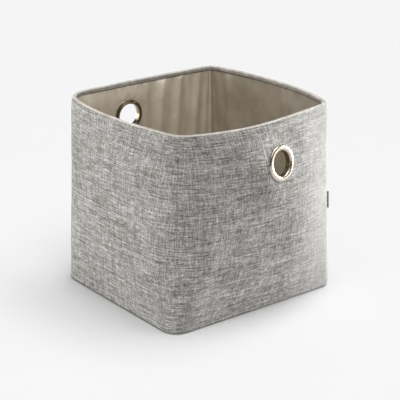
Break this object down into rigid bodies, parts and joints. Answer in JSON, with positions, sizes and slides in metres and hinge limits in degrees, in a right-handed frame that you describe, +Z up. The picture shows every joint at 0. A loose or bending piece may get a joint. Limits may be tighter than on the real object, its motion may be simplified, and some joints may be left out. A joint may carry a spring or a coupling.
{
  "type": "fabric storage bin",
  "caption": "Open-topped, roughly cubic storage bin of stiffened woven fabric with a smooth lining, a metal finger eyelet in two opposite walls and a lift-out covered base insert.",
  "frame": {"origin": "middle of the overall width and length, on the underside of the base", "axes": "+Z up; +X out of the right wall, which has an eyelet, with the other eyelet's wall at -X; -Y out of the plain front wall"},
  "size_m": [0.3226, 0.3272, 0.3],
  "materials": {
    "shell": "woven, matte",
    "lining": "smooth, slight sheen",
    "board": "fibreboard",
    "metal": "polished, champagne",
    "label": "woven tape, blank"
  },
  "bodies": {
    "bin": {"shell_front": "shell", "shell_right": "shell", "shell_back": "shell", "shell_left": "shell", "shell_base": "shell", "board_front": "board", "board_right": "board", "board_back": "board", "board_left": "board", "lining_front": "lining", "lining_right": "lining", "lining_back": "lining", "lining_left": "lining", "lining_base": "lining", "eyelet_right": "metal", "eyelet_left": "metal", "washer_right": "metal", "washer_left": "metal", "seam_label": "label"},
    "insert": {"insert_cover": "lining", "insert_board": "board"}
  },
  "joints": [
    {"name": "insert_lift", "type": "slide", "parent": "bin", "child": "insert", "axis": [0, 0, 1], "range_m": [0, 0.33]}
  ]
}
